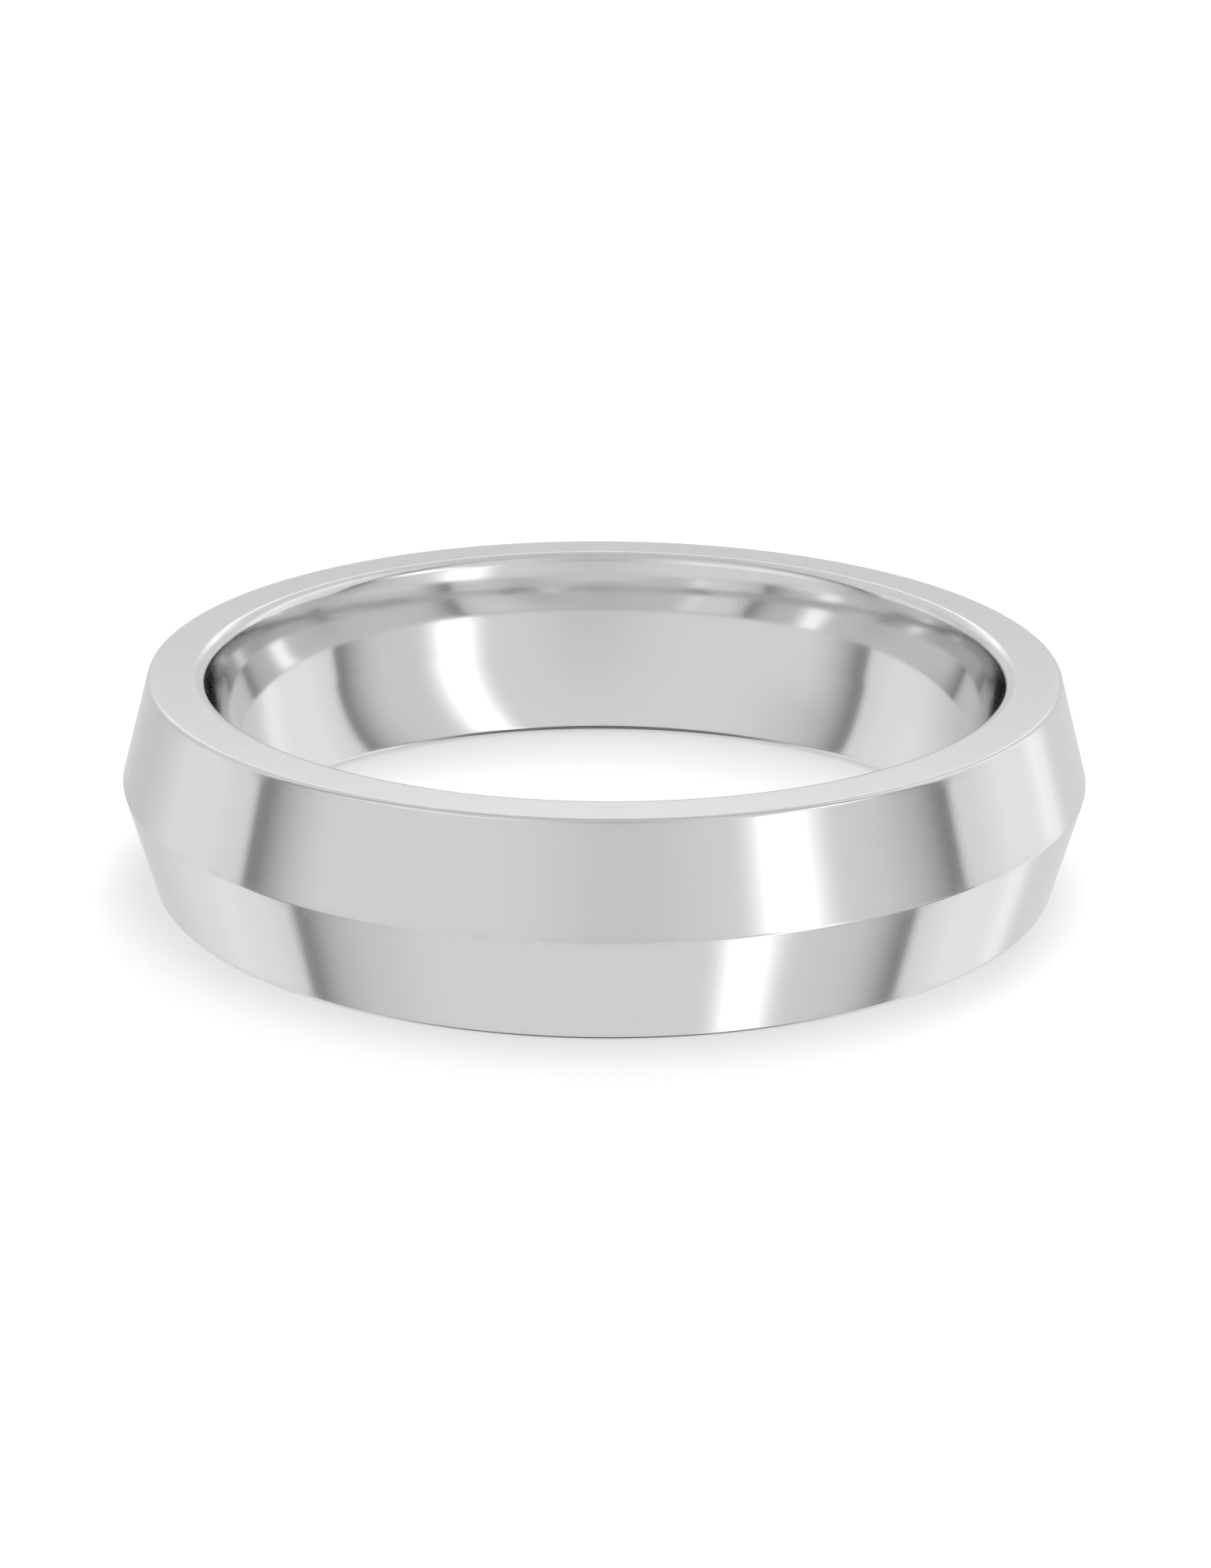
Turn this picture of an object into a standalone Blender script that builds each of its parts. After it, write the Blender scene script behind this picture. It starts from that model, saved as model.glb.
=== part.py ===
"""Plain knife-edge wedding band, turned from one piece of white metal.

The band lies flat on one of its side faces. Lengths are in metres. +Z runs along the finger
hole and the origin is the centre of the lower side face, so the band stands on z = 0.

The cross-section is the same above and below the middle of the width. It has two flat side
faces, two straight outer flanks that meet in a ridge, and a comfort-fit bore: a short straight
land in the middle that curves away from the finger on both sides. Every corner is rounded.
Walls are measured radially from the land to the sharp corners, before they are rounded.
"""

import math

import bmesh
import bpy

# Driving dimensions.
BORE_DIAMETER = 0.0184  # finger hole at its narrowest, across the land
BAND_WIDTH = 0.0050  # from side face to side face, along the finger
RIDGE_WALL = 0.00230  # land to ridge
SIDE_WALL = 0.00162  # land to the outer edge of a side face
LAND_WIDTH = 0.00030  # straight middle of the bore, along the finger
SHOULDER_RADIUS = 0.0088  # curve of the bore on each side of the land
RIDGE_ROUNDING = 0.00012
OUTER_EDGE_ROUNDING = 0.00012
INNER_EDGE_ROUNDING = 0.00030

# How finely the round stretches are divided.
TURN_STEPS = 96  # a multiple of four, so that the box is exact along X and Y
RIDGE_STEPS = 2
OUTER_EDGE_STEPS = 2
INNER_EDGE_STEPS = 4
SHOULDER_STEPS = 4

# Points of the outline lie much further apart than this.
MERGE_DISTANCE = 1e-6

# Finish.
METAL_COLOUR = (0.80, 0.80, 0.80, 1.0)
METAL_ROUGHNESS = 0.08

MIDDLE = BAND_WIDTH / 2
LAND_RADIUS = BORE_DIAMETER / 2
UP = math.pi / 2
INWARDS = math.pi


def clear_scene():
    """Remove every object that the file starts with."""
    for item in list(bpy.data.objects):
        bpy.data.objects.remove(item, do_unlink=True)


def arc(centre, radius, start, end, steps):
    """Return steps + 1 points (r, z) of an arc. Angles turn from outwards, +r, to up, +z."""
    points = []
    for step in range(steps + 1):
        angle = start + (end - start) * step / steps
        points.append((centre[0] + radius * math.cos(angle), centre[1] + radius * math.sin(angle)))
    return points


def mirrored(points):
    """Return the points reflected in the middle of the width, in the opposite order."""
    return [(r, BAND_WIDTH - z) for r, z in reversed(points)]


def outside():
    """Return the outer line from the upper side face, over the ridge, to the lower one."""
    lean = math.atan2(RIDGE_WALL - SIDE_WALL, MIDDLE)

    # The edge's arc touches the side face and the flank.
    setback = OUTER_EDGE_ROUNDING * math.tan((UP - lean) / 2)
    edge_centre = (LAND_RADIUS + SIDE_WALL - setback, BAND_WIDTH - OUTER_EDGE_ROUNDING)
    edge = arc(edge_centre, OUTER_EDGE_ROUNDING, UP, lean, OUTER_EDGE_STEPS)

    ridge_centre = (LAND_RADIUS + RIDGE_WALL - RIDGE_ROUNDING / math.cos(lean), MIDDLE)
    ridge = arc(ridge_centre, RIDGE_ROUNDING, lean, -lean, RIDGE_STEPS)
    return edge + ridge + mirrored(edge)


def upper_bore():
    """Return the bore from the top of the land to the upper side face."""
    shoulder_centre = (LAND_RADIUS + SHOULDER_RADIUS, MIDDLE + LAND_WIDTH / 2)

    # The edge's arc lies inside the shoulder's circle, and touches it and the side face.
    reach = SHOULDER_RADIUS - INNER_EDGE_ROUNDING
    rise = BAND_WIDTH - INNER_EDGE_ROUNDING - shoulder_centre[1]
    spread = math.asin(rise / reach)
    edge_centre = (shoulder_centre[0] - reach * math.cos(spread), shoulder_centre[1] + rise)

    turned_away = INWARDS - spread
    shoulder = arc(shoulder_centre, SHOULDER_RADIUS, INWARDS, turned_away, SHOULDER_STEPS)
    edge = arc(edge_centre, INNER_EDGE_ROUNDING, turned_away, UP, INNER_EDGE_STEPS)
    return shoulder[:-1] + edge


def section():
    """Return the closed cross-section: down the outside, then up the bore."""
    bore = upper_bore()
    return outside() + mirrored(bore) + bore


def turned(name, outline, steps):
    """Return a new object: the outline, in the XZ plane, spun once round the Z axis."""
    shape = bmesh.new()
    points = [shape.verts.new((r, 0.0, z)) for r, z in outline]
    lines = [shape.edges.new(pair) for pair in zip(points, points[1:] + points[:1])]
    bmesh.ops.spin(
        shape,
        geom=points + lines,
        cent=(0.0, 0.0, 0.0),
        axis=(0.0, 0.0, 1.0),
        angle=math.tau,
        steps=steps,
        use_duplicate=False,
    )
    bmesh.ops.remove_doubles(shape, verts=shape.verts, dist=MERGE_DISTANCE)
    bmesh.ops.recalc_face_normals(shape, faces=shape.faces)
    mesh = bpy.data.meshes.new(name)
    shape.to_mesh(mesh)
    shape.free()
    mesh.shade_smooth()
    item = bpy.data.objects.new(name, mesh)
    bpy.context.scene.collection.objects.link(item)
    return item


def polished_metal():
    """Return the mirror-polished white metal."""
    metal = bpy.data.materials.new("polished_white_metal")
    metal.use_nodes = True
    shader = metal.node_tree.nodes["Principled BSDF"]
    shader.inputs["Base Color"].default_value = METAL_COLOUR
    shader.inputs["Metallic"].default_value = 1.0
    shader.inputs["Roughness"].default_value = METAL_ROUGHNESS
    return metal


def main():
    clear_scene()
    band = turned("band", section(), TURN_STEPS)
    band.data.materials.append(polished_metal())


main()
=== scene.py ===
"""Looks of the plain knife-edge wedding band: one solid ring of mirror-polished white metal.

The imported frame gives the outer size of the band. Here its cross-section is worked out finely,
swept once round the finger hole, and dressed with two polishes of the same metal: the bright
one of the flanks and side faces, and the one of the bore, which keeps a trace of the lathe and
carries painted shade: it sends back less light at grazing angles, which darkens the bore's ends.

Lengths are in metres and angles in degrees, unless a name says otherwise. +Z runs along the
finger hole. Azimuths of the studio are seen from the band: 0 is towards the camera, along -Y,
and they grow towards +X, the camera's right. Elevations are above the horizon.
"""

import logging
import math
from dataclasses import dataclass
from enum import Enum

import bpy
import numpy as np
from mathutils import Matrix, Vector


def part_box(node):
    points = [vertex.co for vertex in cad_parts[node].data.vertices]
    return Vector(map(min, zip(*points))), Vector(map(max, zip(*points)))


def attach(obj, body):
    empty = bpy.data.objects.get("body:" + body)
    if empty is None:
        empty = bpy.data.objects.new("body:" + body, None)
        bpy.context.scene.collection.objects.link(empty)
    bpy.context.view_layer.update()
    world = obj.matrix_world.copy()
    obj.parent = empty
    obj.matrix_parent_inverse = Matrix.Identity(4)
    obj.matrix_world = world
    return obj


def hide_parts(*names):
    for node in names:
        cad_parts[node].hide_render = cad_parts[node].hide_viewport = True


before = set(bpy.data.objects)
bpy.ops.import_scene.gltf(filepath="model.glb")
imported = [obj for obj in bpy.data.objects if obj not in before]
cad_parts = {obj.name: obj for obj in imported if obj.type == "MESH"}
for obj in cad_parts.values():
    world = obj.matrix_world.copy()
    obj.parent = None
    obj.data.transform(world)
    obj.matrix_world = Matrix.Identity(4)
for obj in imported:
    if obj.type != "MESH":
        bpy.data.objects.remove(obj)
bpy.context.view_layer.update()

log = logging.getLogger("wedding_band")

BAND_NODE = "band"
BODY = "root"

Feed = float | bpy.types.NodeSocket


# ---------------------------------------------------------------------------------------------
# Node building
# ---------------------------------------------------------------------------------------------


@dataclass
class Wiring:
    """Adds nodes to one tree and joins them.

    Attributes:
        tree: the node tree of a material, a world or a group.
    """

    tree: bpy.types.NodeTree

    def add(self, kind: str, **settings: object) -> bpy.types.Node:
        """Add a node and set its own settings.

        Args:
            kind: Blender's name for the node type.
            settings: attributes of the node, such as its operation.

        Returns:
            The new node.
        """
        node = self.tree.nodes.new(kind)
        for name, value in settings.items():
            setattr(node, name, value)
        return node

    def feed(self, socket: bpy.types.NodeSocket, value: Feed) -> None:
        """Set an input: link it if the value is another node's output, else write the number.

        Args:
            socket: the input.
            value: an output to link, or the input's own value.
        """
        if isinstance(value, bpy.types.NodeSocket):
            self.tree.links.new(value, socket)
        else:
            socket.default_value = value

    def math(self, operation: str, *values: Feed) -> bpy.types.NodeSocket:
        """Add one step of arithmetic.

        Args:
            operation: Blender's name for the operation.
            values: its one to three operands.

        Returns:
            The result.
        """
        node = self.add("ShaderNodeMath", operation=operation)
        for socket, value in zip(node.inputs, values):
            self.feed(socket, value)
        return node.outputs[0]

    def ramp(self, value: Feed, start: Feed, end: Feed) -> bpy.types.NodeSocket:
        """Add a straight ramp that is 0 at start and before it, and 1 at end and past it.

        Args:
            value: what the ramp reads.
            start: where it leaves 0.
            end: where it reaches 1. It may be below start.

        Returns:
            The ramp's height.
        """
        node = self.add("ShaderNodeMapRange", clamp=True)
        for name, given in (("Value", value), ("From Min", start), ("From Max", end)):
            self.feed(node.inputs[name], given)
        return node.outputs["Result"]

    def blend(self, share: Feed, low: Feed, high: Feed) -> bpy.types.NodeSocket:
        """Add a mix of two numbers.

        Args:
            share: 0 for all of low, 1 for all of high.
            low: the first number.
            high: the second number.

        Returns:
            The mix.
        """
        node = self.add("ShaderNodeMix", data_type="FLOAT")
        for socket, given in zip(node.inputs[:4], (share, None, low, high)):
            if given is not None:
                self.feed(socket, given)
        return node.outputs[0]

    def place(self, group: bpy.types.NodeTree, **values: Feed) -> bpy.types.Node:
        """Place a node group and give its inputs their values.

        Args:
            group: the group.
            values: its inputs, named with underscores for spaces.

        Returns:
            The group's node.
        """
        node = self.add("ShaderNodeGroup", node_tree=group)
        for name, value in values.items():
            self.feed(node.inputs[name.replace("_", " ")], value)
        return node


def new_group(
    name: str, inputs: dict[str, str], outputs: dict[str, str]
) -> tuple[Wiring, bpy.types.Node, bpy.types.Node]:
    """Start a shader node group with named sockets.

    Args:
        name: the group's name.
        inputs: socket type by name, for the group's inputs.
        outputs: socket type by name, for its outputs.

    Returns:
        The wiring of the group's tree, its input node and its output node.
    """
    tree = bpy.data.node_groups.new(name, "ShaderNodeTree")
    for sockets, direction in ((inputs, "INPUT"), (outputs, "OUTPUT")):
        for socket, kind in sockets.items():
            tree.interface.new_socket(socket, in_out=direction, socket_type=kind)
    wiring = Wiring(tree)
    return wiring, wiring.add("NodeGroupInput"), wiring.add("NodeGroupOutput")


# ---------------------------------------------------------------------------------------------
# Effects that the finishes share
# ---------------------------------------------------------------------------------------------


def lathe_lines_group() -> bpy.types.NodeTree:
    """Build the group of fine lines that run round the band, as turning and buffing leave them.

    The pattern is four-dimensional noise. Two dimensions are the place round the band, divided
    by the length of a line, and two are the height and the radius, divided by the spacing. So it
    has no seam, and it is the same on flanks, side faces and bore.

    Returns:
        A group with inputs Position, Length and Spacing, and the output Height, about -0.5 to 0.5.
    """
    wiring, given, result = new_group(
        "lathe_lines",
        {
            "Position": "NodeSocketVector",
            "Length": "NodeSocketFloat",
            "Spacing": "NodeSocketFloat",
        },
        {"Height": "NodeSocketFloat"},
    )
    place = wiring.add("ShaderNodeSeparateXYZ")
    wiring.feed(place.inputs[0], given.outputs["Position"])
    x, y, z = place.outputs
    radius = wiring.math("SQRT", wiring.math("MULTIPLY_ADD", x, x, wiring.math("MULTIPLY", y, y)))
    stretched = wiring.add("ShaderNodeCombineXYZ")
    wiring.feed(stretched.inputs["X"], wiring.math("DIVIDE", x, given.outputs["Length"]))
    wiring.feed(stretched.inputs["Y"], wiring.math("DIVIDE", y, given.outputs["Length"]))
    wiring.feed(stretched.inputs["Z"], wiring.math("DIVIDE", z, given.outputs["Spacing"]))
    noise = wiring.add("ShaderNodeTexNoise", noise_dimensions="4D")
    wiring.feed(noise.inputs["Vector"], stretched.outputs[0])
    wiring.feed(noise.inputs["W"], wiring.math("DIVIDE", radius, given.outputs["Spacing"]))
    wiring.feed(noise.inputs["Scale"], 1.0)
    wiring.feed(noise.inputs["Detail"], 2.0)
    height = wiring.math("SUBTRACT", noise.outputs[0], 0.5)
    wiring.feed(result.inputs["Height"], height)
    return wiring.tree


def hairlines_group() -> bpy.types.NodeTree:
    """Build the group of hairline scratches that handling leaves on a polished ring.

    Each of three layers is noise drawn out along its own direction. A scratch is where the noise
    passes its middle value, a thin line, and a second, coarser noise breaks the lines up.

    Returns:
        A group with inputs Position, Spacing, Thinness and Share, and the output Mask, 0 to 1.
    """
    wiring, given, result = new_group(
        "hairline_scratches",
        {
            "Position": "NodeSocketVector",
            "Spacing": "NodeSocketFloat",
            "Thinness": "NodeSocketFloat",
            "Share": "NodeSocketFloat",
        },
        {"Mask": "NodeSocketFloat"},
    )
    turns = ((0.3, 0.2, 0.5), (1.1, 2.2, 0.9), (2.0, 0.8, 2.6))
    drawn_out = (1.0, 1.0, 0.06)
    patch_scale, patch_fade = 0.35, 0.08
    scale = wiring.math("DIVIDE", 1.0, given.outputs["Spacing"])
    bare = wiring.math("SUBTRACT", 1.0, given.outputs["Share"])
    masks = []
    for turn in turns:
        turned = wiring.add("ShaderNodeMapping")
        wiring.feed(turned.inputs["Vector"], given.outputs["Position"])
        wiring.feed(turned.inputs["Rotation"], turn)
        wiring.feed(turned.inputs["Scale"], drawn_out)
        noise = wiring.add("ShaderNodeTexNoise")
        wiring.feed(noise.inputs["Vector"], turned.outputs[0])
        wiring.feed(noise.inputs["Scale"], scale)
        wiring.feed(noise.inputs["Detail"], 0.0)
        off_middle = wiring.math("ABSOLUTE", wiring.math("SUBTRACT", noise.outputs[0], 0.5))
        line = wiring.ramp(off_middle, given.outputs["Thinness"], 0.0)

        patches = wiring.add("ShaderNodeTexNoise")
        wiring.feed(patches.inputs["Vector"], turned.outputs[0])
        wiring.feed(patches.inputs["Scale"], wiring.math("MULTIPLY", scale, patch_scale))
        wiring.feed(patches.inputs["Detail"], 1.0)
        kept = wiring.ramp(patches.outputs[0], bare, wiring.math("ADD", bare, patch_fade))
        masks.append(wiring.math("MULTIPLY", line, kept))
    strongest = wiring.math("MAXIMUM", wiring.math("MAXIMUM", masks[0], masks[1]), masks[2])
    wiring.feed(result.inputs["Mask"], strongest)
    return wiring.tree


def buffing_haze_group() -> bpy.types.NodeTree:
    """Build the group of faint clouds, where the buff and fingers left the metal less bright.

    Returns:
        A group with inputs Position and Size, and the output Haze, 0 to 1.
    """
    wiring, given, result = new_group(
        "buffing_haze",
        {"Position": "NodeSocketVector", "Size": "NodeSocketFloat"},
        {"Haze": "NodeSocketFloat"},
    )
    noise = wiring.add("ShaderNodeTexNoise")
    wiring.feed(noise.inputs["Vector"], given.outputs["Position"])
    wiring.feed(noise.inputs["Scale"], wiring.math("DIVIDE", 1.0, given.outputs["Size"]))
    wiring.feed(noise.inputs["Detail"], 4.0)
    wiring.feed(noise.inputs["Roughness"], 0.55)
    wiring.feed(result.inputs["Haze"], wiring.ramp(noise.outputs[0], 0.38, 0.68))
    return wiring.tree


def edge_wear_group() -> bpy.types.NodeTree:
    """Build the group that roughens the corners of the section, in uneven stretches.

    Returns:
        A group with inputs Position, Edge and Grain, and the output Wear, 0 to 1. Edge is 1 on a
        corner and 0 away from it.
    """
    wiring, given, result = new_group(
        "edge_wear",
        {
            "Position": "NodeSocketVector",
            "Edge": "NodeSocketFloat",
            "Grain": "NodeSocketFloat",
        },
        {"Wear": "NodeSocketFloat"},
    )
    noise = wiring.add("ShaderNodeTexNoise")
    wiring.feed(noise.inputs["Vector"], given.outputs["Position"])
    wiring.feed(noise.inputs["Scale"], wiring.math("DIVIDE", 1.0, given.outputs["Grain"]))
    wiring.feed(noise.inputs["Detail"], 3.0)
    uneven = wiring.ramp(noise.outputs[0], 0.35, 0.65)
    wiring.feed(result.inputs["Wear"], wiring.math("MULTIPLY", uneven, given.outputs["Edge"]))
    return wiring.tree


@dataclass(frozen=True)
class SharedEffects:
    """The node groups that every polish places, each with its own values.

    Attributes:
        lathe_lines: fine lines round the band.
        hairlines: scratches from handling.
        haze: clouds where the metal is less bright.
        wear: roughened corners.
    """

    lathe_lines: bpy.types.NodeTree
    hairlines: bpy.types.NodeTree
    haze: bpy.types.NodeTree
    wear: bpy.types.NodeTree

    @classmethod
    def build(cls) -> "SharedEffects":
        """Build the four groups once.

        Returns:
            The groups.
        """
        return cls(
            lathe_lines_group(), hairlines_group(), buffing_haze_group(), edge_wear_group()
        )


# ---------------------------------------------------------------------------------------------
# Finishes
# ---------------------------------------------------------------------------------------------


@dataclass(frozen=True)
class Polish:
    """A mirror polish on white metal.

    Attributes:
        name: the material's name.
        reflectance: how much light the clean metal sends back, a neutral grey.
        worn_reflectance: the same, where the metal is worn.
        grazing_tint: how much of the light the metal keeps at grazing angles, up to 1.
        roughness: of the clean mirror.
        hazy_roughness: added in the middle of a haze.
        scratched_roughness: added along a scratch.
        worn_roughness: added on a worn corner.
        haze_size: across a cloud of haze.
        line_length: of a line round the band.
        line_spacing: from line to line.
        line_depth: of a line.
        scratch_spacing: from scratch to scratch.
        scratch_thinness: how far from its middle value the noise still draws a scratch.
        scratch_share: how much of the surface has scratches, 0 to 1.
        scratch_depth: of a scratch.
        wear_grain: across an uneven patch of wear.
    """

    name: str
    reflectance: float = 0.80
    worn_reflectance: float = 0.77
    grazing_tint: float = 1.0
    roughness: float = 0.075
    hazy_roughness: float = 0.025
    scratched_roughness: float = 0.10
    worn_roughness: float = 0.08
    haze_size: float = 0.0030
    line_length: float = 0.0040
    line_spacing: float = 0.00009
    line_depth: float = 3.0e-8
    scratch_spacing: float = 0.00040
    scratch_thinness: float = 0.012
    scratch_share: float = 0.42
    scratch_depth: float = 1.5e-7
    wear_grain: float = 0.0006

    def material(self, effects: SharedEffects) -> bpy.types.Material:
        """Build the polish as a material.

        Args:
            effects: the shared node groups.

        Returns:
            The material.
        """
        metal = bpy.data.materials.new(self.name)
        metal.use_nodes = True
        wiring = Wiring(metal.node_tree)
        shader = metal.node_tree.nodes["Principled BSDF"]
        place = wiring.add("ShaderNodeTexCoord").outputs["Object"]
        edge = wiring.add("ShaderNodeAttribute", attribute_name=Surface.EDGE_ATTRIBUTE)

        lines = wiring.place(
            effects.lathe_lines,
            Position=place,
            Length=self.line_length,
            Spacing=self.line_spacing,
        ).outputs["Height"]
        scratches = wiring.place(
            effects.hairlines,
            Position=place,
            Spacing=self.scratch_spacing,
            Thinness=self.scratch_thinness,
            Share=self.scratch_share,
        ).outputs["Mask"]
        haze = wiring.place(effects.haze, Position=place, Size=self.haze_size).outputs["Haze"]
        wear = wiring.place(
            effects.wear, Position=place, Edge=edge.outputs["Fac"], Grain=self.wear_grain
        ).outputs["Wear"]

        dull = wiring.math("MULTIPLY_ADD", haze, self.hazy_roughness, self.roughness)
        dull = wiring.math("MULTIPLY_ADD", scratches, self.scratched_roughness, dull)
        dull = wiring.math("MULTIPLY_ADD", wear, self.worn_roughness, dull)
        wiring.feed(shader.inputs["Roughness"], dull)

        wiring.feed(
            shader.inputs["Base Color"],
            wiring.blend(wear, self.reflectance, self.worn_reflectance),
        )

        height = wiring.math("MULTIPLY", lines, self.line_depth)
        height = wiring.math("MULTIPLY_ADD", scratches, -self.scratch_depth, height)
        bump = wiring.add("ShaderNodeBump")
        wiring.feed(bump.inputs["Strength"], 1.0)
        wiring.feed(bump.inputs["Distance"], 1.0)
        wiring.feed(bump.inputs["Height"], height)
        wiring.feed(shader.inputs["Normal"], bump.outputs[0])

        wiring.feed(shader.inputs["Metallic"], 1.0)
        shader.inputs["Specular Tint"].default_value = (*(self.grazing_tint,) * 3, 1.0)
        return metal


# ---------------------------------------------------------------------------------------------
# The band
# ---------------------------------------------------------------------------------------------


class Zone(Enum):
    """What a stretch of the cross-section is on the ring."""

    FLANK = "flank"
    CORNER = "corner"
    SIDE_FACE = "side face"
    BORE = "bore"


@dataclass(frozen=True)
class Stretch:
    """One run of the cross-section, with both of its ends.

    Attributes:
        zone: what it is on the ring.
        points: one (r, z) a row.
        normals: the outward normal at each point.
    """

    zone: Zone
    points: np.ndarray
    normals: np.ndarray

    @classmethod
    def line(
        cls, zone: Zone, start: tuple[float, float], end: tuple[float, float], steps: int
    ) -> "Stretch":
        """Divide a straight run evenly. The metal lies on the right of its direction.

        Args:
            zone: what it is on the ring.
            start: its first point.
            end: its last point.
            steps: how many parts it has.

        Returns:
            The run, with the normal that is its direction turned a quarter to the left.
        """
        points = np.linspace(start, end, steps + 1)
        along = (points[-1] - points[0]) / np.linalg.norm(points[-1] - points[0])
        return cls(zone, points, np.tile((-along[1], along[0]), (steps + 1, 1)))

    @classmethod
    def arc(
        cls,
        zone: Zone,
        centre: tuple[float, float],
        radius: float,
        start: float,
        end: float,
        steps: int,
    ) -> "Stretch":
        """Divide an arc evenly: centre plus radius times (cosine, sine) of the angle.

        Args:
            zone: what it is on the ring.
            centre: its centre (r, z), on the metal's side.
            radius: its radius.
            start: the angle of its first point, in radians, from +r towards +z.
            end: the angle of its last point.
            steps: how many parts it has.

        Returns:
            The run, with its spokes as the normals.
        """
        angle = np.linspace(start, end, steps + 1)
        spokes = np.stack((np.cos(angle), np.sin(angle)), axis=1)
        return cls(zone, np.array(centre) + radius * spokes, spokes)

    def mirrored(self, width: float) -> "Stretch":
        """Reflect the run in the middle of the width, and run it the other way.

        Args:
            width: of the band, from side face to side face.

        Returns:
            The run on the other half, with the metal still on its right.
        """
        points = self.points[::-1] * (1, -1) + (0, width)
        return Stretch(self.zone, points, self.normals[::-1] * (1, -1))


@dataclass(frozen=True)
class Surface:
    """A closed cross-section swept once round the Z axis.

    Attributes:
        stretches: the runs of the section, in order. The metal lies on their right.
        columns: how many times the section is repeated on the way round.
        wear_reach: how far from a corner its wear still shows.
        polish_lean: how far the polish in the bore leans down, in radians.
    """

    EDGE_ATTRIBUTE = "edge"
    ROUNDING_ERROR = 1e-9

    stretches: tuple[Stretch, ...]
    columns: int
    wear_reach: float
    polish_lean: float

    def outline(self) -> tuple[np.ndarray, np.ndarray]:
        """Join the runs, each without its last point, which the next one repeats.

        Returns:
            The section's points and its outward normals.
        """
        points = np.concatenate([run.points[:-1] for run in self.stretches])
        normals = np.concatenate([run.normals[:-1] for run in self.stretches])
        return points, normals

    def zones(self) -> np.ndarray:
        """Return the zone of each row of faces, the one that starts at the same point."""
        return np.array([run.zone for run in self.stretches for _ in run.points[:-1]])

    def swept(self, flat: np.ndarray) -> np.ndarray:
        """Turn vectors (r, z) of the section round the axis.

        A vector at angle a becomes (r cos a, r sin a, z). The angle starts at the back, +Y.

        Args:
            flat: one (r, z) a row.

        Returns:
            One (x, y, z) a row, with the section's rows together for each angle.
        """
        angle = math.pi / 2 + math.tau * np.arange(self.columns) / self.columns
        r, z = flat[None, :, 0], flat[None, :, 1]
        x, y = r * np.cos(angle)[:, None], r * np.sin(angle)[:, None]
        return np.stack((x, y, np.broadcast_to(z, x.shape)), axis=2).reshape(-1, 3)

    def quads(self) -> np.ndarray:
        """Join neighbours on the grid, which closes on itself both ways.

        Returns:
            Four vertex numbers a row, counter-clockwise from outside.
        """
        rows = len(self.outline()[0])
        here = np.arange(self.columns * rows).reshape(self.columns, rows)
        down, round_ = np.roll(here, -1, axis=1), np.roll(here, -1, axis=0)
        both = np.roll(down, -1, axis=0)
        return np.stack((here, down, both, round_), axis=2).reshape(-1, 4)

    def edge_strength(self) -> np.ndarray:
        """Find how near each point of the section is to a corner.

        It is 1 on a corner's arc, and falls in a straight line with the distance from the
        nearest point of such an arc, to 0 at the reach of the wear.

        Returns:
            One number from 0 to 1 for each point of the section.
        """
        points = self.outline()[0]
        corners = points[self.zones() == Zone.CORNER]
        gaps = np.linalg.norm(points[:, None, :] - corners[None, :, :], axis=2)
        return np.clip(1.0 - gaps.min(axis=1) / self.wear_reach, 0.0, 1.0)

    def polished_normals(self) -> np.ndarray:
        """Lean the normals inside the band down, as a slightly tapered buff leaves them.

        A normal's slope s, up from straight towards the axis, becomes s - lean * share. The
        share is 1 in the bore, and falls to 0 where an inner corner meets its side face:
        (90 degrees - |s|) / (90 degrees - the bore's steepest slope).

        Returns:
            The normal (r, z) at each point of the section.
        """
        normals = self.outline()[1]
        inside = normals[:, 0] < -self.ROUNDING_ERROR
        slope = np.arctan2(normals[inside, 1], -normals[inside, 0])
        upright = math.pi / 2
        steepest = np.abs(slope[self.zones()[inside] == Zone.BORE]).max()
        share = np.clip((upright - np.abs(slope)) / (upright - steepest), 0.0, 1.0)
        slope = slope - self.polish_lean * share
        normals[inside] = np.stack((-np.cos(slope), np.sin(slope)), axis=1)
        return normals

    def mesh(self, name: str, bore_index: int) -> bpy.types.Mesh:
        """Put the surface into a mesh, with its polished normals and the edge attribute.

        Args:
            name: the mesh's name.
            bore_index: the material index of the faces of the bore. The others have 0.

        Returns:
            The mesh.
        """
        points = self.outline()[0]
        corners = self.quads()
        mesh = bpy.data.meshes.new(name)
        mesh.vertices.add(self.columns * len(points))
        mesh.vertices.foreach_set("co", self.swept(points).ravel())
        mesh.loops.add(corners.size)
        mesh.loops.foreach_set("vertex_index", corners.ravel())
        mesh.polygons.add(len(corners))
        mesh.polygons.foreach_set("loop_start", np.arange(0, corners.size, 4))
        in_bore = np.tile(self.zones() == Zone.BORE, self.columns)
        mesh.polygons.foreach_set("material_index", in_bore.astype(np.int32) * bore_index)
        mesh.update(calc_edges=True)
        mesh.validate()
        mesh.shade_smooth()
        mesh.normals_split_custom_set_from_vertices(self.swept(self.polished_normals()))
        edge = mesh.attributes.new(self.EDGE_ATTRIBUTE, "FLOAT", "POINT")
        edge.data.foreach_set("value", np.tile(self.edge_strength(), self.columns))
        return mesh


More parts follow.
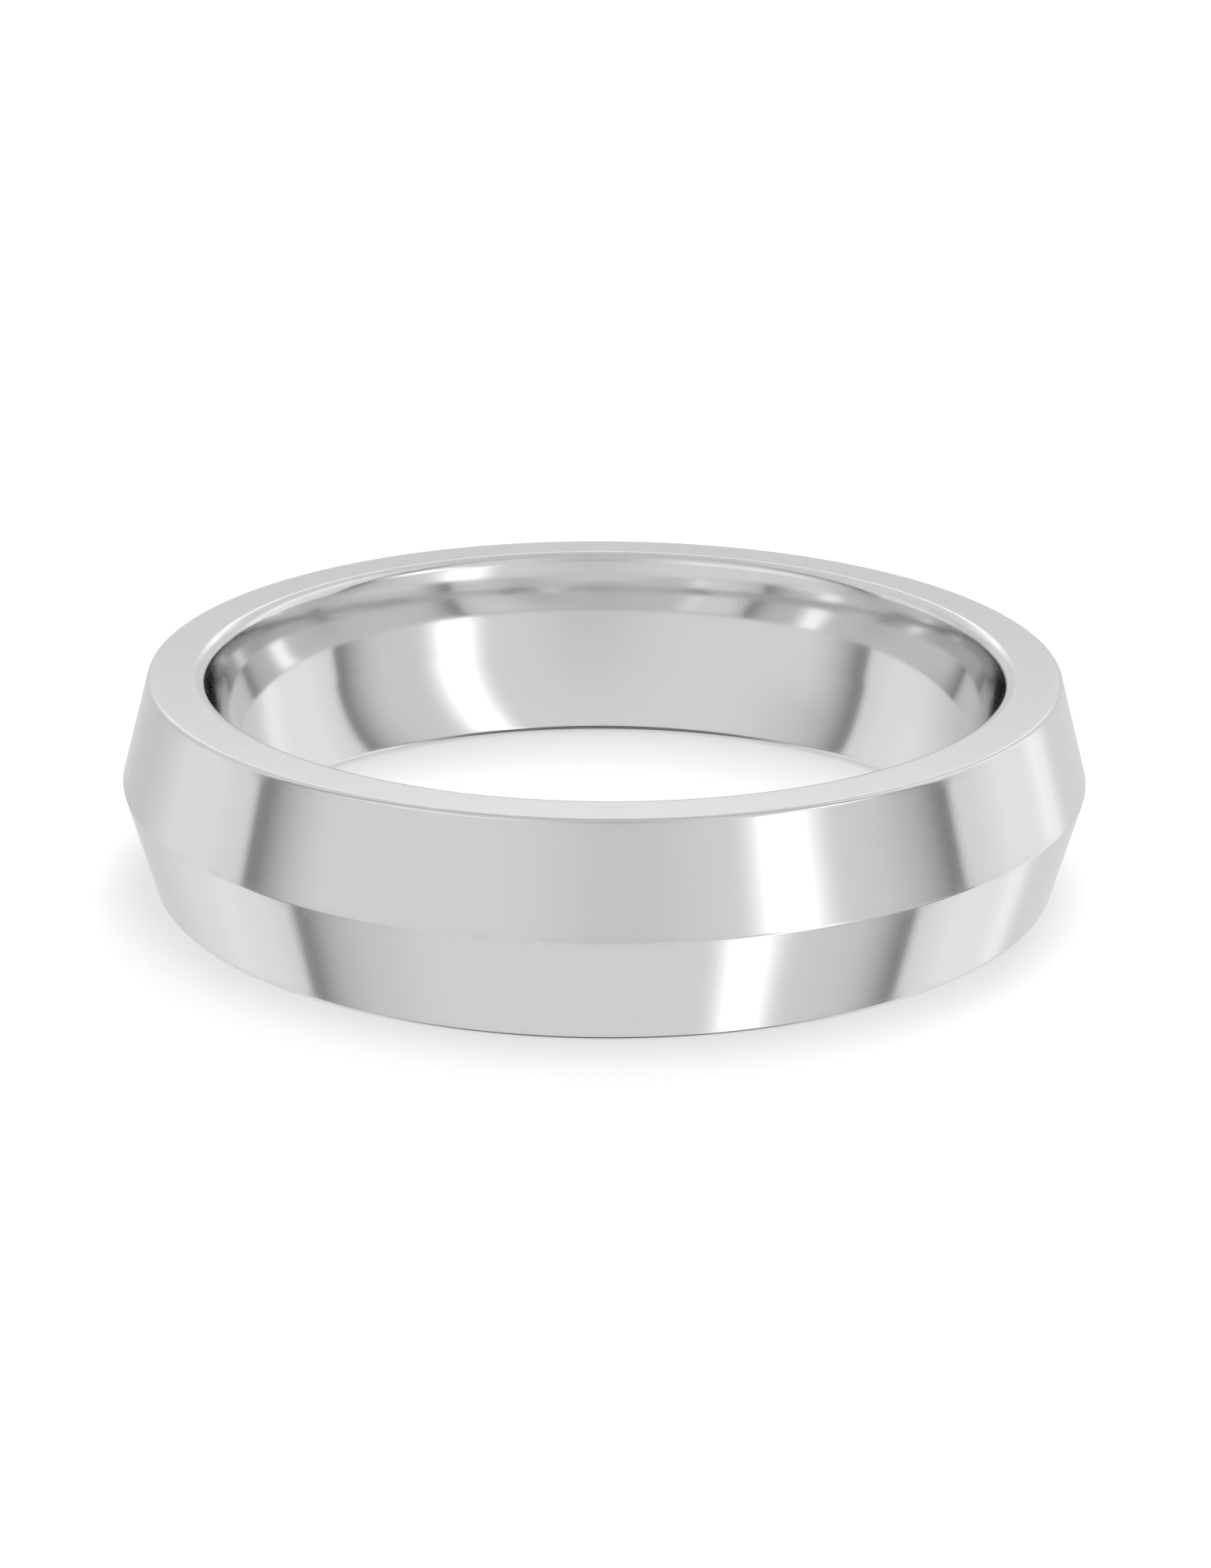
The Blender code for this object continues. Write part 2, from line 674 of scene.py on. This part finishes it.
@dataclass(frozen=True)
class KnifeEdgeBand:
    """The wedding band, turned from one piece of metal.

    The outer line is two flat side faces and two straight flanks that meet in a ridge. The bore
    is a comfort fit: a short straight land, and a shoulder on each side that curves away from
    the finger. Walls are measured radially from the land to the sharp corners.

    Attributes:
        ridge_radius: from the axis to the top of the ridge.
        width: from side face to side face.
        ridge_wall: from the land to the ridge.
        side_wall: from the land to the outer edge of a side face.
        land_width: of the land, along the finger.
        shoulder_radius: of the bore's curve on each side of the land.
        ridge_rounding: radius of the ridge.
        outer_rounding: radius of the corner between a side face and a flank.
        inner_rounding: radius of the corner between a side face and the bore.
        polish_lean: how far the polish in the bore leans down, in degrees.
        wear_reach: how far from a corner its wear still shows.
    """

    # How many parts each run is divided into. The ridge and the land are counted for one half.
    OUTER_EDGE_STEPS = 6
    FLANK_STEPS = 12
    RIDGE_STEPS = 4
    LAND_STEPS = 2
    SHOULDER_STEPS = 14
    INNER_EDGE_STEPS = 8
    SIDE_FACE_STEPS = 4
    TURN_STEPS = 960

    ridge_radius: float
    width: float
    ridge_wall: float = 0.00230
    side_wall: float = 0.00162
    land_width: float = 0.00030
    shoulder_radius: float = 0.0088
    ridge_rounding: float = 0.00012
    outer_rounding: float = 0.00012
    inner_rounding: float = 0.00030
    polish_lean: float = 2.7
    wear_reach: float = 0.00018

    @classmethod
    def from_frame(cls, node: str) -> "KnifeEdgeBand":
        """Take the ridge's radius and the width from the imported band.

        Args:
            node: the name of its CAD node.

        Returns:
            The band, with its other sizes as they are.
        """
        low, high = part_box(node)
        return cls(ridge_radius=(high.x - low.x) / 2, width=high.z - low.z)

    def lean(self) -> float:
        """Return the angle, in radians, between a flank and the finger hole's axis."""
        return math.atan2(self.ridge_wall - self.side_wall, self.width / 2)

    def land_radius(self) -> float:
        """Return the radius of the finger hole at its narrowest."""
        sharp_ridge = self.ridge_radius + self.ridge_rounding * (1 / math.cos(self.lean()) - 1)
        return sharp_ridge - self.ridge_wall

    def upper_outside(self) -> tuple[Stretch, ...]:
        """Work out the outside of the upper half, from the side face down to the ridge.

        Returns:
            The outer edge, the flank and the half of the ridge.
        """
        lean, quarter = self.lean(), math.pi / 2
        setback = self.outer_rounding * math.tan((quarter - lean) / 2)
        edge_centre = (
            self.land_radius() + self.side_wall - setback,
            self.width - self.outer_rounding,
        )
        ridge_centre = (self.ridge_radius - self.ridge_rounding, self.width / 2)
        out, up = math.cos(lean), math.sin(lean)
        flank_top = (
            edge_centre[0] + self.outer_rounding * out,
            edge_centre[1] + self.outer_rounding * up,
        )
        flank_foot = (
            ridge_centre[0] + self.ridge_rounding * out,
            ridge_centre[1] + self.ridge_rounding * up,
        )
        return (
            Stretch.arc(
                Zone.CORNER, edge_centre, self.outer_rounding, quarter, lean, self.OUTER_EDGE_STEPS
            ),
            Stretch.line(Zone.FLANK, flank_top, flank_foot, self.FLANK_STEPS),
            Stretch.arc(
                Zone.CORNER, ridge_centre, self.ridge_rounding, lean, 0.0, self.RIDGE_STEPS
            ),
        )

    def upper_inside(self) -> tuple[Stretch, ...]:
        """Work out the inside of the upper half, from the middle of the land to the outer edge.

        The inner edge's arc lies inside the shoulder's circle. It touches that circle and the
        side face, which gives the angle that the shoulder turns through.

        Returns:
            The half of the land, the shoulder, the inner edge and the side face.
        """
        land, middle, quarter = self.land_radius(), self.width / 2, math.pi / 2
        shoulder_centre = (land + self.shoulder_radius, middle + self.land_width / 2)
        reach = self.shoulder_radius - self.inner_rounding
        rise = self.width - self.inner_rounding - shoulder_centre[1]
        spread = math.asin(rise / reach)
        edge_centre = (shoulder_centre[0] - reach * math.cos(spread), shoulder_centre[1] + rise)
        turned = math.pi - spread
        outer_setback = self.outer_rounding * math.tan((quarter - self.lean()) / 2)
        face_end = (land + self.side_wall - outer_setback, self.width)
        return (
            Stretch.line(
                Zone.BORE, (land, middle), (land, shoulder_centre[1]), self.LAND_STEPS
            ),
            Stretch.arc(
                Zone.BORE,
                shoulder_centre,
                self.shoulder_radius,
                math.pi,
                turned,
                self.SHOULDER_STEPS,
            ),
            Stretch.arc(
                Zone.CORNER,
                edge_centre,
                self.inner_rounding,
                turned,
                quarter,
                self.INNER_EDGE_STEPS,
            ),
            Stretch.line(
                Zone.SIDE_FACE, (edge_centre[0], self.width), face_end, self.SIDE_FACE_STEPS
            ),
        )

    def surface(self) -> Surface:
        """Close the section: the outside going down, then the inside going up.

        Returns:
            The surface of the whole band.
        """
        outside, inside = self.upper_outside(), self.upper_inside()
        lower_outside = tuple(run.mirrored(self.width) for run in reversed(outside))
        lower_inside = tuple(run.mirrored(self.width) for run in reversed(inside))
        runs = (*outside, *lower_outside, *lower_inside, *inside)
        return Surface(
            runs,
            columns=self.TURN_STEPS,
            wear_reach=self.wear_reach,
            polish_lean=math.radians(self.polish_lean),
        )

    def build(self) -> bpy.types.Object:
        """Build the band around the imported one, and let it ride where that one is.

        Returns:
            The band, without its finish.
        """
        mesh = self.surface().mesh("knife_edge_band", bore_index=1)
        band = bpy.data.objects.new("knife_edge_band", mesh)
        bpy.context.scene.collection.objects.link(band)
        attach(band, BODY)
        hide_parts(BAND_NODE)
        return band

    def dress(self, band: bpy.types.Object, effects: SharedEffects) -> None:
        """Give the band its two polishes, for the outside and for the bore. The bore's polish
        carries painted shade: its lower grazing tint darkens it at grazing angles.

        Args:
            band: the built band.
            effects: the shared node groups.
        """
        band.data.materials.append(Polish("polished_flanks").material(effects))
        band.data.materials.append(
            Polish(
                "polished_bore",
                # Painted shade: the lower grazing tint makes the bore send back less light at
                # grazing angles, which darkens the ends of the bore.
                grazing_tint=0.85,
                roughness=0.085,
                line_depth=4.0e-8,
                scratch_share=0.30,
            ).material(effects)
        )


# ---------------------------------------------------------------------------------------------
# Studio
# ---------------------------------------------------------------------------------------------


@dataclass(frozen=True)
class Sheet:
    """A sheet of light or shade round the table, seen as a stripe in the metal.

    Attributes:
        azimuth: of its middle, at the height of the horizon.
        half_width: from its middle to where it starts to fade.
        left_fade: how far it fades towards smaller azimuths. The light falls with the square.
        right_fade: how far it fades towards larger azimuths.
        level: the brightness that it adds, or takes away if below 0.
        lean: degrees of azimuth that it moves for each degree of elevation.
        foot: elevation of its lower edge.
        top: elevation of its upper edge.
        end_fade: how far it fades below its foot and above its top.
        bow: how far it bows out towards larger azimuths, below the horizon.
    """

    # A bow is fullest at one elevation, and is gone this far above and below it.
    BOW_ELEVATION = -22.0
    BOW_REACH = 29.0

    azimuth: float
    half_width: float
    left_fade: float
    right_fade: float
    level: float
    lean: float = 0.0
    foot: float = -100.0
    top: float = 100.0
    end_fade: float = 10.0
    bow: float = 0.0


def sheet_group() -> bpy.types.NodeTree:
    """Build the group that finds how much of one sheet is seen in a direction.

    Past each of its four edges the light falls with the square of a straight ramp. The bow is
    a parabola, 1 - ((elevation - its elevation) / its reach) squared where that is above 0.

    Returns:
        A group with the inputs Azimuth and Elevation, of the direction, and one for each size
        of a sheet, and the output Light, 0 to 1.
    """
    sizes = (
        "Middle",
        "Half Width",
        "Left Fade",
        "Right Fade",
        "Lean",
        "Foot",
        "Top",
        "End Fade",
        "Bow",
    )
    wiring, given, result = new_group(
        "studio_sheet",
        {name: "NodeSocketFloat" for name in ("Azimuth", "Elevation", *sizes)},
        {"Light": "NodeSocketFloat"},
    )
    size = given.outputs
    middle = wiring.math("MULTIPLY_ADD", size["Elevation"], size["Lean"], size["Middle"])
    off_bow = wiring.math("SUBTRACT", size["Elevation"], Sheet.BOW_ELEVATION)
    off_bow = wiring.math("DIVIDE", off_bow, Sheet.BOW_REACH)
    off_bow = wiring.math("MINIMUM", wiring.math("MULTIPLY", off_bow, off_bow), 1.0)
    bowed = wiring.math("MULTIPLY", wiring.math("SUBTRACT", 1.0, off_bow), size["Bow"])
    middle = wiring.math("ADD", middle, bowed)
    apart = wiring.math("WRAP", wiring.math("SUBTRACT", size["Azimuth"], middle), 180.0, -180.0)
    past_edges = (
        (wiring.math("MULTIPLY", apart, -1.0), size["Half Width"], size["Left Fade"]),
        (apart, size["Half Width"], size["Right Fade"]),
        (size["Elevation"], size["Top"], size["End Fade"]),
        (
            wiring.math("MULTIPLY", size["Elevation"], -1.0),
            wiring.math("MULTIPLY", size["Foot"], -1.0),
            size["End Fade"],
        ),
    )
    seen: Feed = 1.0
    for place, edge, fade in past_edges:
        inside = wiring.ramp(place, wiring.math("ADD", edge, fade), edge)
        seen = wiring.math("MULTIPLY", seen, inside)
    wiring.feed(result.inputs["Light"], wiring.math("MULTIPLY", seen, seen))
    return wiring.tree


@dataclass(frozen=True)
class Studio:
    """Plain soft light from all round, which the metal mirrors, over a plain pale floor.

    The walls reach below the horizon, and the floor isn't mirrored, so that the lower flank
    shows the same stripes as the upper one.

    Attributes:
        wall: brightness of the walls between the sheets.
        sheets: what hangs in front of the walls.
        ceiling: brightness straight above.
        ceiling_start: elevation where the walls start to fade into the ceiling.
        ceiling_full: elevation where the ceiling is all that is seen.
        pit: brightness straight below.
        pit_start: elevation where the walls start to fade into the pit.
        pit_full: elevation where the pit is all that is seen.
        backdrop: brightness of the plain backdrop that the camera sees.
        floor_wash: brightness, near the horizon, of the light that only the floor gets.
        floor_wash_overhead: brightness of that light straight above.
        returned_wash: share that this light gains where the metal mirrors it onto the floor.
        soft_key: power, in watts, of the lamp behind that draws the floor's shadow.
        soft_key_place: where that lamp hangs.
        soft_key_width: across that lamp.
    """

    wall: float = 0.78
    sheets: tuple[Sheet, ...] = (
        # Two dark gaps at the sides, where the front walls end and the back wall begins.
        Sheet(-86.4, 1.6, 3.0, 22.0, -0.51, lean=0.08),
        Sheet(84.0, 1.2, 22.0, 3.0, -0.52, lean=-0.08, bow=6.3),
        # The soft box in front on the right, and its faint twin behind it.
        Sheet(42.0, 4.0, 9.0, 10.0, 0.75, lean=-0.01, top=11.5, end_fade=6.0, bow=6.5),
        Sheet(126.0, 2.5, 7.0, 8.0, 0.20, lean=-0.10),
        # Softer changes from wall to wall.
        Sheet(5.0, 6.0, 34.0, 30.0, -0.10, foot=-18.0, end_fade=45.0),
        Sheet(-110.0, 8.0, 16.0, 16.0, 0.08),
        Sheet(-122.0, 8.0, 14.0, 14.0, 0.05, top=-28.0, end_fade=8.0),
        Sheet(-136.0, 6.0, 26.0, 24.0, -0.12, lean=0.6, foot=-22.0, end_fade=25.0),
        Sheet(-70.0, 4.0, 16.0, 25.0, -0.10, top=-35.0, end_fade=20.0),
        Sheet(68.0, 4.0, 20.0, 14.0, -0.07),
        Sheet(114.0, 8.0, 20.0, 14.0, 0.15),
        Sheet(150.0, 6.0, 16.0, 20.0, -0.03),
        # The back wall darkens a little at the middle, and a long soft box hangs above it.
        Sheet(180.0, 5.0, 30.0, 30.0, -0.08),
        Sheet(180.0, 12.0, 30.0, 30.0, 0.60, foot=23.5, top=27.0, end_fade=8.0),
        # Two soft boxes higher up at the front, with a darker gap between them.
        Sheet(-45.0, 15.0, 25.0, 25.0, 0.18, foot=16.0, top=40.0, end_fade=5.0),
        Sheet(36.0, 8.0, 12.0, 20.0, 0.55, lean=0.8, foot=19.0, top=38.0, end_fade=5.0),
        Sheet(2.0, 8.0, 22.0, 22.0, -0.10, foot=16.0, end_fade=5.0),
    )
    ceiling: float = 0.62
    ceiling_start: float = 50.0
    ceiling_full: float = 75.0
    pit: float = 0.18
    pit_start: float = -60.0
    pit_full: float = -70.0
    backdrop: float = 1.0
    floor_wash: float = 0.8
    floor_wash_overhead: float = 1.8
    returned_wash: float = 0.25
    soft_key: float = 0.15
    soft_key_place: tuple[float, float, float] = (0.05, 0.16, 0.16)
    soft_key_width: float = 0.16

    def light(self) -> bpy.types.World:
        """Build the world: walls and sheets by azimuth, ceiling and pit by elevation.

        Returns:
            The world.
        """
        world = bpy.data.worlds.new("soft_studio")
        world.use_nodes = True
        wiring = Wiring(world.node_tree)
        direction = wiring.add("ShaderNodeSeparateXYZ")
        wiring.feed(direction.inputs[0], wiring.add("ShaderNodeTexCoord").outputs["Generated"])
        x, y, z = direction.outputs
        azimuth = wiring.math("ARCTAN2", x, wiring.math("MULTIPLY", y, -1.0))
        azimuth = wiring.math("DEGREES", azimuth)
        elevation = wiring.math("DEGREES", wiring.math("ARCSINE", z))

        sheet = sheet_group()
        brightness: Feed = self.wall
        for one in self.sheets:
            seen = wiring.place(
                sheet,
                Azimuth=azimuth,
                Elevation=elevation,
                Middle=one.azimuth,
                Half_Width=one.half_width,
                Left_Fade=one.left_fade,
                Right_Fade=one.right_fade,
                Lean=one.lean,
                Foot=one.foot,
                Top=one.top,
                End_Fade=one.end_fade,
                Bow=one.bow,
            )
            brightness = wiring.math("MULTIPLY_ADD", seen.outputs[0], one.level, brightness)

        overhead = wiring.ramp(elevation, self.ceiling_start, self.ceiling_full)
        brightness = wiring.blend(overhead, brightness, self.ceiling)
        below = wiring.ramp(elevation, self.pit_start, self.pit_full)
        brightness = wiring.blend(below, brightness, self.pit)

        ray = wiring.add("ShaderNodeLightPath")
        brightness = wiring.blend(ray.outputs["Is Camera Ray"], brightness, self.backdrop)
        # The floor gets its own light, both directly and after the metal has mirrored it. The
        # returned share makes up for what the metal takes.
        straight = ray.outputs["Is Diffuse Ray"]
        from_floor = wiring.math("ADD", straight, ray.outputs["Diffuse Depth"])
        from_floor = wiring.math("MINIMUM", from_floor, 1.0)
        upright = wiring.math("MULTIPLY", z, z)
        wash = wiring.blend(upright, self.floor_wash, self.floor_wash_overhead)
        mirrored = wiring.math("SUBTRACT", 1.0, straight)
        gain = wiring.math("MULTIPLY_ADD", mirrored, self.returned_wash, 1.0)
        wash = wiring.math("MULTIPLY", wash, gain)
        brightness = wiring.blend(from_floor, brightness, wash)
        background = world.node_tree.nodes["Background"]
        wiring.feed(background.inputs["Color"], brightness)
        return world

    def hang_key(self) -> bpy.types.Object:
        """Hang the soft key lamp, high behind the band and a little to the right.

        The metal doesn't mirror it, so all that it does is to light the floor.

        Returns:
            The lamp.
        """
        data = bpy.data.lights.new("soft_key", "AREA")
        data.shape = "DISK"
        data.size = self.soft_key_width
        data.energy = self.soft_key
        lamp = bpy.data.objects.new("soft_key", data)
        bpy.context.scene.collection.objects.link(lamp)
        place = Vector(self.soft_key_place)
        towards_band = place.to_track_quat("Z", "Y").to_matrix().to_4x4()
        lamp.matrix_world = Matrix.Translation(place) @ towards_band
        lamp.visible_glossy = False
        lamp.visible_camera = False
        return lamp


@dataclass(frozen=True)
class Floor:
    """A plain pale sheet under the band, which the metal doesn't mirror.

    Attributes:
        half_size: from the middle to a side.
        whiteness: how much light the sheet sends back.
    """

    half_size: float = 0.6
    whiteness: float = 0.85

    def build(self, level: float) -> bpy.types.Object:
        """Lay the sheet.

        Args:
            level: the height of the band's lower side face.

        Returns:
            The floor.
        """
        half = self.half_size
        signs = ((-1, -1), (1, -1), (1, 1), (-1, 1))
        corners = [(half * across, half * along, level) for across, along in signs]
        mesh = bpy.data.meshes.new("floor")
        mesh.from_pydata(corners, [], [(0, 1, 2, 3)])
        floor = bpy.data.objects.new("floor", mesh)
        bpy.context.scene.collection.objects.link(floor)
        floor.visible_glossy = False
        paper = bpy.data.materials.new("pale_floor")
        paper.use_nodes = True
        shader = paper.node_tree.nodes["Principled BSDF"]
        shader.inputs["Base Color"].default_value = (*(self.whiteness,) * 3, 1.0)
        shader.inputs["Roughness"].default_value = 0.9
        shader.inputs["Specular IOR Level"].default_value = 0.0
        mesh.materials.append(paper)
        return floor


@dataclass(frozen=True)
class Viewpoint:
    """The camera, in front of the band and above it.

    Attributes:
        back: how far it stands from the band's axis.
        height: above the lower side face.
        tilt: how far it looks down.
        swing: how far it looks to the right.
        roll: how far it leans, clockwise as seen from behind it.
        lens: focal length in millimetres, on a sensor 36 millimetres high.
    """

    back: float = 0.07550
    height: float = 0.02896
    tilt: float = 19.71
    swing: float = 0.02
    roll: float = -0.31
    lens: float = 76.23

    def build(self) -> bpy.types.Object:
        """Set the camera up and make it the scene's own.

        Returns:
            The camera.
        """
        data = bpy.data.cameras.new("viewpoint")
        data.lens = self.lens
        data.clip_start = 0.001
        data.clip_end = 10.0
        camera = bpy.data.objects.new("viewpoint", data)
        bpy.context.scene.collection.objects.link(camera)
        camera.matrix_world = (
            Matrix.Translation(Vector((0.0, -self.back, self.height)))
            @ Matrix.Rotation(math.radians(-self.swing), 4, "Z")
            @ Matrix.Rotation(math.radians(90.0 - self.tilt), 4, "X")
            @ Matrix.Rotation(math.radians(-self.roll), 4, "Z")
        )
        bpy.context.scene.camera = camera
        return camera


# ---------------------------------------------------------------------------------------------
# The scene
# ---------------------------------------------------------------------------------------------


def main() -> None:
    """Build the band, its finishes, the floor, the light and the camera, in that order."""
    ring = KnifeEdgeBand.from_frame(BAND_NODE)
    band = ring.build()
    ring.dress(band, SharedEffects.build())
    faces, hole = len(band.data.polygons), 2 * ring.land_radius()
    log.info("%s: %d faces, finger hole %.5f m", band.name, faces, hole)

    floor = Floor().build(level=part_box(BAND_NODE)[0].z)

    studio = Studio()
    bpy.context.scene.world = studio.light()
    key = studio.hang_key()
    log.info("%s: %.3f W", key.name, key.data.energy)
    bpy.context.scene.view_settings.view_transform = "Standard"
    camera = Viewpoint().build()
    log.info("%s: %.2f mm lens", camera.name, camera.data.lens)


if __name__ == "__main__":
    logging.basicConfig(level=logging.INFO, format="%(name)s: %(message)s")
    main()
